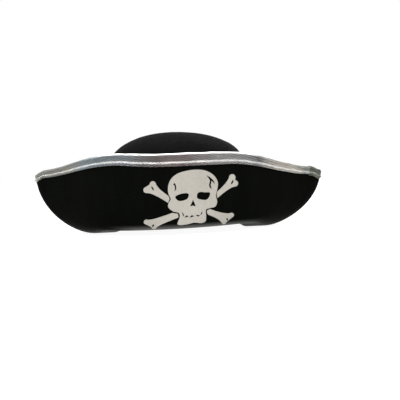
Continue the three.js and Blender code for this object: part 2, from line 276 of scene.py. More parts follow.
def wall_place(x, z):
    """The angle and rise of the front wall's point at a place seen from the front."""
    height = np.array(z, dtype=float)
    angle = np.full(height.shape, FRONT)
    for _ in range(40):
        angle = -np.arccos(np.clip(x / half_length(height, angle), -1, 1))
        height = np.maximum((z - fold_lift(angle, height)) / bend_at(angle), 0.05)
    return angle, np.sqrt(height / top_at(angle))


# ---- crown surface

def crown_point(angle, share, inset):
    """The crown's face: share is 0 at the apex and 1 at the rim, inset is inwards from outside."""
    angle, share, inset = np.broadcast_arrays(angle, share, inset)
    shoulder = HEAD_HALF_WIDTH + CROWN_BULGE - inset
    climb = np.clip(1 - share / DOME_SHARE, 0, 1) * math.pi / 2
    down = np.clip((share - DOME_SHARE) / (1 - DOME_SHARE), 0, 1)
    is_dome = share < DOME_SHARE
    opening = np.where(is_dome, np.cos(climb), 1.0)
    reach = np.where(is_dome, shoulder * opening, shoulder - CROWN_BULGE * down * down)
    dome = CROWN_SHOULDER + (CROWN_HEIGHT - CROWN_SHOULDER - inset) * np.sin(climb)
    z = np.where(is_dome, dome, CROWN_SHOULDER * (1 - down))
    fall = np.clip(1 - z / CROWN_SHOULDER, 0, 1)
    upper = np.clip(z / CROWN_HEIGHT, 0, 1)
    side = np.maximum(np.cos(angle), 0) ** 2
    x = reach * np.cos(angle) - CROWN_DENT * side * opening ** DENT_POWER * (1 - fall) ** 2
    return point(
        x + CROWN_SWAY * upper * z,
        (reach + (HEAD_HALF_DEPTH - HEAD_HALF_WIDTH) * opening) * np.sin(angle),
        z + (fold_lift(angle, 0.0) + CROWN_RIM_LIFT) * fall * fall - CROWN_TILT * upper * x,
    )


def inside_crown(angle, height, inwards):
    """A point off the crown's inner face, at a height on its side."""
    share = 1 + (DOME_SHARE - 1) * height / CROWN_SHOULDER
    return crown_point(angle, share, FELT + inwards)


# ---- mesh makers

def add_to_scene(name, data):
    thing = bpy.data.objects.new(name, data)
    bpy.context.scene.collection.objects.link(thing)
    return thing


def new_object(name, vertices, faces):
    """A mesh object from points in millimetres."""
    mesh = bpy.data.meshes.new(name)
    mesh.from_pydata((np.asarray(vertices).reshape(-1, 3) * MM).tolist(), [], faces)
    mesh.validate()
    mesh.update()
    piece = add_to_scene(name, mesh)
    for polygon in mesh.polygons:
        polygon.use_smooth = True
    return piece


def grid_faces(columns, rows, wrap_columns, wrap_rows, start=0):
    faces = []
    for i in range(columns if wrap_columns else columns - 1):
        left, right = i * rows, (i + 1) % columns * rows
        for j in range(rows if wrap_rows else rows - 1):
            up = (j + 1) % rows
            faces.append((start + left + j, start + right + j, start + right + up, start + left + up))
    return faces


def ring_object(name, grid):
    """A closed ring from a grid of points: columns go round, rows go round each section."""
    columns, rows, _ = grid.shape
    return new_object(name, grid, grid_faces(columns, rows, True, True))


def store(piece, name, values):
    """Keeps three numbers for each point of a mesh, for its material."""
    layer = piece.data.attributes.new(name, "FLOAT_VECTOR", "POINT")
    layer.data.foreach_set("vector", point(*values).astype(np.float32).ravel())


def store_run(piece, run, across):
    """Keeps distances along and across the cloth, in metres, for its weave."""
    store(piece, "cloth_place", (run * MM, across * MM, 0.0))


def tubes_object(name, lines, radius, sides=6):
    """Round threads through lists of points, with tapered closed ends, as one object."""
    vertices, faces = [], []
    turn = np.linspace(0, TAU, sides, endpoint=False)
    for line in lines:
        line = np.asarray(line, dtype=float)
        tangent = unit(np.gradient(line, axis=0))
        helper = np.where(np.abs(tangent[:, 2:]) > 0.9, [[1.0, 0, 0]], [[0, 0, 1.0]])
        side = unit(np.cross(tangent, helper))
        other = np.cross(tangent, side)
        size = np.full(len(line), float(radius))
        size[[0, -1]] *= 0.55
        spin = turn[None, :, None]
        circle = np.cos(spin) * side[:, None] + np.sin(spin) * other[:, None]
        start = sum(len(v) for v in vertices)
        vertices.append((line[:, None] + circle * size[:, None, None]).reshape(-1, 3))
        faces += [face[:1] + face[:0:-1] for face in grid_faces(len(line), sides, False, True, start)]
        faces.append(tuple(start + i for i in range(sides)))
        last = start + (len(line) - 1) * sides
        faces.append(tuple(last + i for i in reversed(range(sides))))
    piece = new_object(name, np.concatenate(vertices), faces)
    return outward(piece)


def outward(piece):
    """Turns every face out."""
    shape = bmesh.new()
    shape.from_mesh(piece.data)
    bmesh.ops.recalc_face_normals(shape, faces=shape.faces)
    shape.to_mesh(piece.data)
    shape.free()
    return piece


# ---- material nodes

class Finish:
    """A procedural material, built node by node."""

    def __init__(self, name, **surface):
        self.material = bpy.data.materials.new(name)
        self.material.use_nodes = True
        self.nodes = self.material.node_tree.nodes
        self.links = self.material.node_tree.links
        self.surface = self.nodes["Principled BSDF"]
        self.place = self.add("ShaderNodeTexCoord").outputs["Object"]
        for socket, value in surface.items():
            self.surface.inputs[socket.replace("_", " ")].default_value = value

    def add(self, kind, **settings):
        node = self.nodes.new(kind)
        for key, value in settings.items():
            setattr(node, key, value)
        return node

    def feed(self, socket, value):
        if isinstance(value, bpy.types.NodeSocket):
            self.links.new(value, socket)
        else:
            socket.default_value = value

    def attribute(self, name):
        return self.add("ShaderNodeAttribute", attribute_name=name).outputs["Vector"]

    def stored(self, name):
        """The three numbers kept for each point of the mesh."""
        return self.parts(self.attribute(name))

    def maths(self, operation, first, second=0.0, clamp=False):
        node = self.add("ShaderNodeMath", operation=operation, use_clamp=clamp)
        self.feed(node.inputs[0], first)
        self.feed(node.inputs[1], second)
        return node.outputs[0]

    def rows(self, place, pitch):
        """A wave with one crest for each pitch, in metres."""
        return self.maths("SINE", self.maths("MULTIPLY", place, TAU / pitch))

    def parts(self, vector):
        split = self.add("ShaderNodeSeparateXYZ")
        self.feed(split.inputs[0], vector)
        return split.outputs

    def scaled(self, vector, scale):
        node = self.add("ShaderNodeMapping")
        self.feed(node.inputs["Vector"], vector)
        node.inputs["Scale"].default_value = scale
        return node.outputs[0]

    def noise(self, size, detail=3.0, vector=None, roughness=0.6, distortion=0.0):
        """Noise with bumps of about the given size in metres."""
        node = self.add("ShaderNodeTexNoise")
        self.feed(node.inputs["Vector"], vector or self.place)
        node.inputs["Scale"].default_value = 1 / size
        node.inputs["Detail"].default_value = detail
        node.inputs["Roughness"].default_value = roughness
        node.inputs["Distortion"].default_value = distortion
        return node.outputs["Fac"]

    def ramp(self, value, *stops, ease="LINEAR"):
        node = self.add("ShaderNodeValToRGB")
        node.color_ramp.interpolation = ease
        self.feed(node.inputs[0], value)
        elements = node.color_ramp.elements
        while len(elements) < len(stops):
            elements.new(0.5)
        for element, (position, color) in zip(elements, stops):
            element.position = position
            element.color = (*color, 1) if len(color) == 3 else (color[0],) * 3 + (1,)
        return node.outputs[0]

    def mix(self, share, first, second, blend="MIX"):
        node = self.add("ShaderNodeMix", data_type="RGBA", blend_type=blend)
        self.feed(node.inputs["Factor"], share)
        self.feed(node.inputs[6], first)
        self.feed(node.inputs[7], second)
        return node.outputs[2]

    def times(self, color, *layers):
        for layer in layers:
            color = self.mix(1.0, color, layer, "MULTIPLY")
        return color

    def bump(self, height, distance, strength=1.0, base=None):
        node = self.add("ShaderNodeBump")
        node.inputs["Strength"].default_value = strength
        node.inputs["Distance"].default_value = distance
        self.feed(node.inputs["Height"], height)
        if base is not None:
            self.feed(node.inputs["Normal"], base)
        return node.outputs[0]

    def done(self, color=None, normal=None, roughness=None):
        for socket, value in (("Base Color", color), ("Normal", normal), ("Roughness", roughness)):
            if value is not None:
                self.feed(self.surface.inputs[socket], value)
        return self.material


def crown_felt():
    """Black wool felt: fine matted hair, small clumps and broad cloudy patches."""
    finish = Finish("crown_felt", Roughness=0.95, Sheen_Weight=0.06, Sheen_Roughness=0.2,
                    Specular_IOR_Level=0.01)
    finish.surface.inputs["Sheen Tint"].default_value = (0.85, 0.87, 0.86, 1)
    fibres = finish.noise(0.0011, detail=6, roughness=0.72, distortion=1.2)
    clumps = finish.noise(0.006, detail=3)
    cloudy = finish.noise(0.05, detail=2)
    hair = finish.ramp(fibres, (0.30, (0.0014, 0.0015, 0.0015)), (0.55, (0.0034, 0.0036, 0.0034)),
                       (0.74, (0.0105, 0.011, 0.0105)))
    shade = finish.ramp(clumps, (0.3, (0.72,)), (0.7, (1.0,)))
    patch = finish.ramp(cloudy, (0.3, (0.82,)), (0.7, (1.0,)))
    color = finish.times(hair, shade, patch)
    rough = finish.bump(fibres, 0.0005, 0.75)
    soft = finish.bump(clumps, 0.0012, 0.35, rough)
    return finish.done(color, soft)


def brim_felt():
    """The same felt with an upright nap, and a painted sheen that makes it paler along the bottom of the
    front and back folds, where the mesh marks it.
    """
    finish = Finish("brim_felt", Roughness=0.9, Sheen_Weight=0.25, Sheen_Roughness=0.2,
                    Specular_IOR_Level=0.01)
    finish.surface.inputs["Sheen Tint"].default_value = (0.86, 0.9, 0.84, 1)
    fibres = finish.noise(0.0009, detail=5, roughness=0.7, distortion=0.8)
    streaks = finish.noise(0.012, detail=3, vector=finish.scaled(finish.place, (1, 1, 0.12)))
    cloudy = finish.noise(0.07, detail=2)
    hair = finish.ramp(fibres, (0.32, (0.0012, 0.0014, 0.0011)), (0.56, (0.0024, 0.0028, 0.0022)),
                       (0.76, (0.0060, 0.0066, 0.0058)))
    nap = finish.ramp(streaks, (0.3, (0.75,)), (0.7, (1.0,)))
    patch = finish.ramp(cloudy, (0.3, (0.8,)), (0.7, (1.0,)))
    color = finish.times(hair, nap, patch)
    # Painted sheen: a pale grey mixed in where the mesh marks the bottom of the folds, standing in for
    # the floor's light on the nap.
    wear_and_sheen = finish.ramp(fibres, (0.3, (0.10, 0.10, 0.094)), (0.7, (0.19, 0.19, 0.18)))
    color = finish.mix(finish.stored("fold_sheen")[0], color, wear_and_sheen)
    rough = finish.bump(fibres, 0.0003, 0.6)
    soft = finish.bump(streaks, 0.0010, 0.25, rough)
    return finish.done(color, soft)


WEAVE_PITCH = 0.0022
WEAVE_WAVES = ((0.65, -0.25), (0.35, 0.75))
RIB_PITCH = 0.0011
SATIN_PITCH = 0.0005


def silver_cloth():
    """Metallic cloth: slanting rows of woven dots, crinkles, faint rainbow tints and painted reflection
    that make it lighter and darker along the hat's length, and painted highlights along the top roll and
    the stitched ridge.
    """
    finish = Finish("silver_cloth", Metallic=0.92, Roughness=0.38)
    place = finish.attribute("cloth_place")
    run, across, _ = finish.stored("cloth_place")
    lapped, seam, crest = finish.stored("cloth_lap_and_highlights")
    waves = []
    for lengthwise, crosswise in WEAVE_WAVES:
        line = finish.maths("ADD", finish.maths("MULTIPLY", run, lengthwise),
                            finish.maths("MULTIPLY", across, crosswise))
        waves.append(finish.rows(line, WEAVE_PITCH))
    dots = finish.maths("MULTIPLY", waves[0], waves[1])
    dots = finish.maths("ADD", finish.maths("MULTIPLY", dots, 0.5), 0.5)
    crinkle = finish.noise(0.004, detail=4, vector=place, roughness=0.65, distortion=0.6)
    glint = finish.noise(0.0014, detail=2, vector=place)
    wide = finish.noise(0.03, detail=2, vector=place)
    weave = finish.ramp(dots, (0.15, (0.025,)), (0.45, (0.15,)), (0.80, (0.56,)))
    sparkle = finish.ramp(glint, (0.40, (0.62,)), (0.58, (1.0,)), (0.72, (2.0,)))
    fold = finish.ramp(crinkle, (0.3, (0.80,)), (0.7, (1.15,)))
    body = finish.ramp(wide, (0.3, (0.85,)), (0.7, (1.12,)))
    east = finish.maths("DIVIDE", finish.parts(finish.place)[0], 2 * BRIM_HALF_LENGTH * MM)
    share = finish.maths("ADD", east, 0.5)
    wander = finish.maths("MULTIPLY", finish.maths("SUBTRACT", wide, 0.5), 0.03)
    drift = finish.maths("ADD", share, wander)
    # Colours along the hat's length, left tip to right tip: partly the cloth's rainbow tints, partly
    # painted reflection that makes stretches lighter and darker.
    tint_and_reflection = finish.ramp(
        drift,
        (0.00, (0.80, 0.82, 0.73)), (0.07, (0.62, 0.63, 0.57)), (0.13, (0.72, 0.71, 0.62)),
        (0.19, (0.56, 0.67, 0.71)), (0.33, (0.61, 0.66, 0.69)), (0.42, (0.46, 0.40, 0.38)),
        (0.53, (0.52, 0.44, 0.43)), (0.62, (0.80, 0.78, 0.77)), (0.73, (0.78, 0.78, 0.78)),
        (0.77, (0.44, 0.44, 0.44)), (0.82, (1.25, 1.17, 1.05)), (0.90, (1.35, 1.28, 1.13)),
        (0.94, (0.72, 0.73, 0.67)),
    )
    color = finish.times(weave, sparkle, fold, body, tint_and_reflection)
    color = finish.mix(lapped, color, finish.times(color, (0.44, 0.47, 0.40, 1)))
    # Painted highlight along the stitched ridge: a bright silver like the thread's, broken up by the
    # glints.
    thread = finish.ramp(glint, (0.35, (0.45, 0.44, 0.43)), (0.65, (0.95, 0.94, 0.92)))
    broken = finish.ramp(glint, (0.44, (0.15,)), (0.54, (0.90,)))
    color = finish.mix(finish.maths("MULTIPLY", seam, broken), color, thread)
    # Painted highlight: pale grey along the top roll, where the mesh marks the crest.
    color = finish.mix(finish.maths("MULTIPLY", crest, 0.9), color, (0.90, 0.90, 0.90, 1))
    woven = finish.bump(dots, 0.0003, 0.8)
    folded = finish.bump(crinkle, 0.0007, 0.3, woven)
    roughness = finish.ramp(glint, (0.35, (0.30,)), (0.7, (0.46,)))
    return finish.done(color, folded, roughness)


def silver_thread():
    finish = Finish("silver_thread", Metallic=0.55, Roughness=0.34)
    twist = finish.noise(0.0007, detail=2, vector=finish.scaled(finish.place, (1, 1, 2.5)))
    color = finish.ramp(twist, (0.35, (0.52, 0.51, 0.50)), (0.65, (0.97, 0.96, 0.94)))
    return finish.done(color, finish.bump(twist, 0.0002, 0.6))


def black_thread():
    finish = Finish("black_thread", Roughness=0.7, Sheen_Weight=0.1)
    twist = finish.noise(0.0006, detail=2)
    color = finish.ramp(twist, (0.35, (0.006, 0.006, 0.006)), (0.65, (0.03, 0.03, 0.032)))
    return finish.done(color, finish.bump(twist, 0.0002, 0.5))


def motif_film():
    """Heat-pressed film: nearly flat warm white, with the felt's grain showing through."""
    finish = Finish("motif_film", Roughness=0.5, Specular_IOR_Level=0.35)
    cloudy = finish.noise(0.03, detail=3)
    speck = finish.noise(0.0016, detail=4)
    color = finish.ramp(cloudy, (0.3, (0.282, 0.266, 0.235)), (0.7, (0.318, 0.302, 0.267)))
    grime = finish.ramp(speck, (0.30, (0.84,)), (0.50, (1.0,)))
    pressed = finish.bump(speck, 0.0003, 0.35)
    roughness = finish.ramp(cloudy, (0.3, (0.44,)), (0.7, (0.56,)))
    return finish.done(finish.times(color, grime), pressed, roughness)


def ribbed_ribbon():
    """Black ribbon with fine upright ribs."""
    finish = Finish("ribbon", Roughness=0.6, Sheen_Weight=0.15)
    place = finish.attribute("cloth_place")
    ribs = finish.rows(finish.stored("cloth_place")[0], RIB_PITCH)
    weave = finish.noise(0.0008, detail=3, vector=place)
    shade = finish.ramp(finish.maths("ADD", finish.maths("MULTIPLY", ribs, 0.5), 0.5),
                        (0.0, (0.004, 0.004, 0.0045)), (1.0, (0.016, 0.016, 0.018)))
    wear_and_sheen = finish.ramp(weave, (0.3, (0.75,)), (0.7, (1.15,)))
    ribbed = finish.bump(ribs, 0.0002, 0.8)
    return finish.done(finish.times(shade, wear_and_sheen), finish.bump(weave, 0.0002, 0.4, ribbed))


def label_satin():
    """Off-white satin with fine upright threads."""
    finish = Finish("label_satin", Roughness=0.38, Sheen_Weight=0.2)
    threads = finish.rows(finish.parts(finish.place)[0], SATIN_PITCH)
    cloudy = finish.noise(0.008, detail=3)
    color = finish.ramp(cloudy, (0.3, (0.74, 0.73, 0.70)), (0.7, (0.84, 0.83, 0.80)))
    return finish.done(color, finish.bump(threads, 0.00008, 0.6))


FINISHES = {
    "crown_felt": crown_felt(), "brim_felt": brim_felt(), "silver_cloth": silver_cloth(),
    "silver_thread": silver_thread(), "black_thread": black_thread(), "motif_film": motif_film(),
    "ribbon": ribbed_ribbon(), "label_satin": label_satin(),
}


def place_piece(piece, slot, *nodes, body="hat"):
    """Gives a piece its material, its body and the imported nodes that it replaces."""
    piece.data.materials.append(FINISHES[slot])
    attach(piece, body)
    if nodes:
        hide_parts(*nodes)


# ---- felt pieces

CROWN_SWELLS = ((0.5, 38, 11), (0.08, 5, 12))
CROWN_SWELL_RANGE = (20, 60)

# Height, middle and fade of the painted sheen along the bottom of the front and back folds.
FOLD_SHEEN_HEIGHT = 9
SHEEN_MIDDLE = 0.05
SHEEN_FADE = (0.4, 0.75)


def make_crown():
    """The domed crown: its outer face is softly uneven above the rim, its inner face smooth."""
    columns, outer_rows, inner_rows = 400, 96, 48
    angle = turns(columns)
    outer = np.linspace(0, 1, outer_rows)[None, 1:]
    inner = np.linspace(1, 0, inner_rows)[None, :-1]
    outside = crown_point(angle, outer, 0.0)
    away = unit(outside - np.array([0, 0, CROWN_SHOULDER * 0.6]))
    high = smoothstep(outside[..., 2], *CROWN_SWELL_RANGE)
    swell = sum(rise * lumps(outside, size, seed) for rise, size, seed in CROWN_SWELLS)
    outside = outside + away * (swell * high)[..., None]
    inside = crown_point(angle, inner, float(FELT))
    rows = np.concatenate([outside, inside], axis=1)
    count = rows.shape[1]
    apex = crown_point(0.0, 0.0, np.array([0.0, float(FELT)]))
    vertices = np.concatenate([rows.reshape(-1, 3), apex])
    faces = [face[::-1] for face in grid_faces(columns, count, True, False)]
    top, under = columns * count, columns * count + 1
    for i in range(columns):
        k = (i + 1) % columns
        faces.append((top, i * count, k * count))
        faces.append((under, k * count + count - 1, i * count + count - 1))
    crown = outward(new_object("felt_crown", vertices, faces))
    place_piece(crown, "crown_felt", "crown")


def fold_sheen(angle, height):
    """How strongly the painted sheen pales the felt along the bottom of the front and back folds, from 0
    to 1.
    """
    middle = 1 - smoothstep(np.abs(np.cos(angle) - SHEEN_MIDDLE), *SHEEN_FADE)
    return middle * np.clip(1 - height / FOLD_SHEEN_HEIGHT, 0, 1) ** 1.6


def make_brim():
    """The brim: a flat shelf round the head opening that turns up into the walls."""
    columns, shelf_rows, wall_rows = 480, 10, 58
    angle = turns(columns)
    shelf = np.linspace(-1, 0, shelf_rows, endpoint=False)
    rises = np.concatenate([shelf, np.linspace(0, 1, wall_rows)])
    outer = off_brim(angle, rises[None, :], 0.0)
    inner = off_brim(angle, rises[None, ::-1], -float(FELT))
    grid = np.concatenate([outer, inner], axis=1)
    brim = ring_object("felt_brim", grid)
    # Painted sheen along the bottom of the front and back folds, none on the inner face, kept on the
    # mesh for its material.
    height = top_at(angle) * np.maximum(rises, 0) ** 2
    wear_and_sheen = fold_sheen(angle, height) * np.clip(1 + rises, 0, 1) ** 2
    wear_and_sheen = np.concatenate([wear_and_sheen, 0 * wear_and_sheen], axis=1)
    store(brim, "fold_sheen", (wear_and_sheen, 0.0, 0.0))
    outward(brim)
    place_piece(brim, "brim_felt", "brim")


# ---- silver binding

STITCH_PITCH = 4.3
STITCH_SWING = 0.65
STITCH_THREAD = 0.32
ZIGZAG = 1.3
LAP_FRONT = 25
LAP_BACK = 5
LAP_DROP = 1.8
LAP_RISE = 0.6
ROLL_HEIGHT = 1.0
SEAM_SPREAD = 0.55
# Painted highlight along the binding's top: how far below the top it starts, and where round the hat it
# fades out towards the tips.
HIGHLIGHT_DEPTH = 0.4
HIGHLIGHT_FADE = (0.42, 0.58)


def lap(run):
    """1 where the binding's finishing end lies over its start, round the +X tip."""
    from_tip = np.minimum(run, EDGE_LENGTH - run)
    reach = np.where(run > EDGE_LENGTH / 2, LAP_FRONT, LAP_BACK)
    return 1 - smoothstep(from_tip, reach - 0.8, reach)


def seam_line(run, width, side):
    """Height of the jagged line of stitches above the binding's lower edge."""
    stitch = STITCH_SWING * np.cos(TAU * run / STITCH_PITCH)
    return SEAM_SHARE * width + stitch + 0.35 * along(run, 22 if side > 0 else 32, 5.0)


def seam_mark(up, line):
    """1 on the line of stitches, fading above and below it."""
    return np.exp(-((up - line + 0.3) / SEAM_SPREAD) ** 2)


def binding_relief(run, up, width, side):
    """How far the cloth stands off the flat: a hem, a stitched ridge and a puffed upper band.

    Each term is a height times its place up the strip, all in millimetres.
    """
    seed = 21 if side > 0 else 31
    seam = SEAM_SHARE * width
    stitch = np.cos(TAU * run / STITCH_PITCH)
    uneven = 1 + 0.35 * along(run, seed, 7.0)
    line = seam_line(run, width, side)
    ridge = smoothstep(up, line - 2.2, line - 0.6) * (1 - smoothstep(up, line - 0.4, line + 1.5))
    hem = -0.45 * np.exp(-up / 0.45)
    pull = -0.30 * np.exp(-((up - line - 1.6) / 0.8) ** 2) * (0.6 + 0.4 * stitch)
    puff = 0.55 * smoothstep(up, seam + 1, seam + 0.45 * (width - seam))
    lean = -1.0 * smoothstep(up, width - 1.8, width + 0.5)
    slant = run + 0.9 * (up - seam)
    near = np.exp(-np.abs(up - seam) / 2.2)
    pucker = 0.12 * np.sin(TAU * slant / STITCH_PITCH + 1.6 * along(run, seed + 2, 9.0)) * near
    return 1.25 * ridge * uneven + hem + pull + puff + lean + pucker + LAP_RISE * lap(run)


def make_binding():
    """The silver strip folded over the edge: outer face, rolled top, inner face and lining."""
    columns, face_rows, roll_rows = 1300, 30, 9
    run = np.linspace(0, EDGE_LENGTH, columns, endpoint=False)
    angle = angle_at(run)[:, None]
    width = binding_width(angle) + LAP_DROP * lap(run)[:, None]
    share = np.linspace(0, 1, face_rows)[None, :]
    run_grid = run[:, None] + 0 * share
    up, down = share * width, (1 - share) * width
    outer_off = GAP + CLOTH + binding_relief(run_grid, up, width, 1)
    outer = below_edge(angle, width - up, outer_off)
    inner_off = FELT + GAP + CLOTH + binding_relief(run_grid, down, width, -1)
    inner = below_edge(angle, width - down, -inner_off)
    turn = np.linspace(0, math.pi, roll_rows + 2)[None, 1:-1]
    first, last = outer[:, -1:], inner[:, :1]
    middle, half = (first + last) / 2, (first - last) / 2
    height = ROLL_HEIGHT + 0.2 * along(run, 41, 12.0) + 0.9 * lap(run)
    rise = np.array([0, 0, 1.0]) * height[:, None, None]
    roll = middle + half * np.cos(turn)[..., None] + rise * np.sin(turn)[..., None]
    lining = [(width, -(FELT + GAP)), (0 * width, -(FELT + GAP)), (0 * width, GAP), (width, GAP)]
    back = [below_edge(angle, drop, float(off)) for drop, off in lining]
    grid = np.concatenate([outer, roll, inner, *back], axis=1)
    binding = ring_object("silver_binding", grid)
    steps = np.linalg.norm(np.diff(grid, axis=1), axis=2)
    across = np.concatenate([np.zeros((columns, 1)), np.cumsum(steps, axis=1)], axis=1)
    store_run(binding, run[:, None], across)
    low = seam_line(run[:, None], width, 1)
    high = width - HIGHLIGHT_DEPTH
    # The painted top highlight: full in the middle of the front and back, fading out towards the tips.
    bright = 1 - smoothstep(np.abs(np.cos(angle)), *HIGHLIGHT_FADE)
    outer_marks = seam_mark(up, low), bright * smoothstep(up, high, width)
    inner_marks = seam_mark(down, low), bright * smoothstep(down, high, width)
    flat = np.zeros((columns, roll_rows))
    lining_marks = np.zeros((columns, len(lining)))
    seam_highlights = np.concatenate([outer_marks[0], flat, inner_marks[0], lining_marks], axis=1)
    crest_highlights = np.concatenate([outer_marks[1], flat + bright, inner_marks[1], lining_marks], axis=1)
    # The painted ridge highlight is weaker towards the tips.
    upright = 0.15 + 0.85 * np.abs(np.sin(angle)) ** 2
    store(binding, "cloth_lap_and_highlights", (lap(run)[:, None], seam_highlights * upright, crest_highlights))
    outward(binding)
    place_piece(binding, "silver_cloth", "edge_trim")


def seam_lines(side):
    """A narrow zigzag of thread, whose stitches dip into the cloth at their ends."""
    lines = []
    count = 2 * int(EDGE_LENGTH / STITCH_PITCH)
    pitch = EDGE_LENGTH / count
    random = np.random.default_rng(5 if side > 0 else 6)
    share = np.linspace(0, 1, 6)
    for i in range(count):
        start = i * pitch + random.uniform(-0.12, 0.12)
        angle = angle_at(start + pitch * (0.06 + 0.88 * share))
        swing = ZIGZAG * (1 if i % 2 else -1) * (1 - 2 * share) * random.uniform(0.8, 1.15)
        drop = binding_width(angle) * (1 - SEAM_SHARE) + swing
        sunk = 0.4 * np.cos(angle) ** 2
        off = GAP + CLOTH + 0.35 + 0.60 * np.sin(math.pi * share) + 0.25 * swing - sunk
        lines.append(below_edge(angle, drop, off if side > 0 else -(off + FELT)))
    return lines


def make_binding_stitches():
    for side, name, node in ((1, "binding_stitches_outer", "trim_stitching_outer"),
                             (-1, "binding_stitches_inner", "trim_stitching_inner")):
        place_piece(tubes_object(name, seam_lines(side), STITCH_THREAD), "silver_thread", node)


# ---- sweatband and label

SWEATBAND_FACE = GAP + SWEATBAND * 0.8
SWEATBAND_SLACK = 12
SWEATBAND_THREAD = 0.24

LABEL_SET_BACK = 0.35
LABEL_BOW = 0.6
LABEL_CURL = 0.9
LABEL_PLY = 0.55
LABEL_CLOTH = 0.22
LABEL_THREAD = 0.16


def make_sweatband():
    """A ribbon round the inside of the crown, with a slightly wavy upper edge."""
    columns, rows = 480, 12
    angle = turns(columns)
    height = np.linspace(SWEATBAND_BOTTOM, SWEATBAND_TOP, rows)[None, :]
    wave = 0.18 * np.sin(23 * angle + 0.4) + 0.12 * np.sin(41 * angle + 2.0)
    near = inside_crown(angle, height, GAP)
    slack = SWEATBAND_FACE + wave * smoothstep(height, SWEATBAND_TOP - SWEATBAND_SLACK, SWEATBAND_TOP)
    far = inside_crown(angle, height[:, ::-1], slack[:, ::-1])
    grid = np.concatenate([near, far], axis=1)
    band = ring_object("sweatband_ribbon", grid)
    reach = np.concatenate([height, height[:, ::-1]], axis=1)
    run = angle * (HEAD_HALF_WIDTH + HEAD_HALF_DEPTH) / 2
    store_run(band, run, reach)
    outward(band)
    place_piece(band, "ribbon", "sweatband")


def make_sweatband_stitches():
    """Running stitches near the ribbon's lower edge."""
    count = 170
    lines = []
    for i in range(count):
        angle = (i + np.linspace(0.1, 0.8, 5)) * TAU / count
        arch = np.sin(np.linspace(0, math.pi, 5))
        inwards = SWEATBAND_FACE - 0.15 + 0.4 * arch
        height = SWEATBAND_BOTTOM + SWEATBAND_SEAM + 0 * angle
        lines.append(inside_crown(angle, height, inwards))
    stitches = tubes_object("sweatband_stitches", lines, SWEATBAND_THREAD)
    place_piece(stitches, "black_thread", "sweatband_stitching")


def make_label():
    """A blank satin strip folded double, sewn in by its top edge."""
    low, high = node_box("care_label")
    half = (high[0] - low[0]) / 2
    middle = (high[0] + low[0]) / 2
    columns, ply_rows, fold_rows = 28, 16, 8
    x = np.linspace(-half, half, columns)[:, None]
    drop = np.linspace(0, 1, ply_rows)[None, :]
    length = high[2] - low[2] - 0.5
    back_y = high[1] - LABEL_SET_BACK - LABEL_BOW * (x / half) ** 2
    curl = LABEL_CURL * drop ** 2 * (1 + 0.3 * x / half)
    rear = point(x + middle, back_y - curl, high[2] - length * drop)
    turn = np.linspace(0, math.pi, fold_rows + 2)[None, 1:-1]
    bend = LABEL_PLY / 2
    fold = rear[:, -1:] + point(0 * x, -bend * (1 - np.cos(turn)), -bend * np.sin(turn))
    front = rear[:, ::-1] + np.array([0, -LABEL_PLY, 0])
    grid = np.concatenate([rear, fold, front], axis=1)
    label = new_object("blank_label", grid, grid_faces(columns, grid.shape[1], False, False))
    cloth = label.modifiers.new("thickness", "SOLIDIFY")
    cloth.thickness = LABEL_CLOTH * MM
    cloth.offset = 0
    place_piece(label, "label_satin", "care_label", body="label")
    lines = []
    for i in range(7):
        along_x = middle + half * (-0.9 + 0.27 * i + np.linspace(0, 0.18, 4))
        y = high[1] - LABEL_SET_BACK - LABEL_BOW * ((along_x - middle) / half) ** 2 - LABEL_PLY - 0.1
        lines.append(point(along_x, y, high[2] - 0.9))
    place_piece(tubes_object("label_stitches", lines, LABEL_THREAD), "black_thread", body="label")


# ---- thread tacks

TACK_STRANDS = 3
TACK_TWIST = 2.2
TACK_COIL = 0.32
TACK_SAG = 0.5
TACK_THREAD = 0.26
KNOT = 0.7


def make_tacks():
    """Three twisted strands and a knot at each end tie the wall back to the crown."""
    for node in ("front_tack_left", "front_tack_right", "back_tack_left", "back_tack_right"):
        low, high = node_box(node)
        x, _, z = (low + high) / 2
        start, stop = low[1] - 0.9, high[1] + 0.9
        run = np.linspace(0, 1, 18)
        y = start + (stop - start) * run
        lines = []
        for strand in range(TACK_STRANDS):
            phase = TAU * strand / TACK_STRANDS + TACK_TWIST * TAU * run
            sag = TACK_SAG * np.sin(math.pi * run)
            lines.append(point(x + TACK_COIL * np.cos(phase), y, z + TACK_COIL * np.sin(phase) - sag))
        for end in (low[1] + 0.2, high[1] - 0.2):
            turn = np.linspace(0, 1.6 * TAU, 26)
            y = end + 0.25 * np.sin(turn * 0.6)
            lines.append(point(x + KNOT * np.cos(turn), y, z + KNOT * np.sin(turn)))
        place_piece(tubes_object(node + "_thread", lines, TACK_THREAD), "black_thread", node)


# ---- film motif

# From the top of the skull clockwise: brow, cheek, jaw, chin, and up the other side.
SKULL = [
    (-0.6, 32.2), (14.1, 30.9), (25.3, 24.6), (30.4, 15.3), (29.4, 7.3), (27.1, -0.8),
    (28, -8.6), (25.4, -14.2), (18.3, -15.8), (13.6, -17.6), (13.4, -24), (12.3, -31),
    (7.2, -33.1), (-1.7, -32), (-10.7, -33.4), (-20, -33.5), (-22, -31), (-18.8, -24),
    (-19.6, -18.8), (-26, -16.6), (-31.8, -11.2), (-30.9, -5.5), (-28.2, -1.4), (-30.5, 5.5),
    (-30.2, 14.5), (-26, 23), (-16.5, 29.4),
]
EYES = [
    [(-22.2, 1.4), (-15.4, 4.1), (-8.2, 4.5), (-5.9, 2), (-8.9, -2.9), (-16.7, -4.5), (-21, -2.4)],
    [(3.8, -0.9), (4.6, 3), (8, 4.8), (13.5, 4), (19.6, 3.2), (19.2, -1.1), (15.1, -5.1),
     (8.5, -4.5), (4.6, -2.9)],
]
NOSE = [(-1.3, -4.0), (-3.1, -7.9), (-5.6, -11.9), (-2, -11.1), (1.7, -12.4), (0.3, -8.1)]

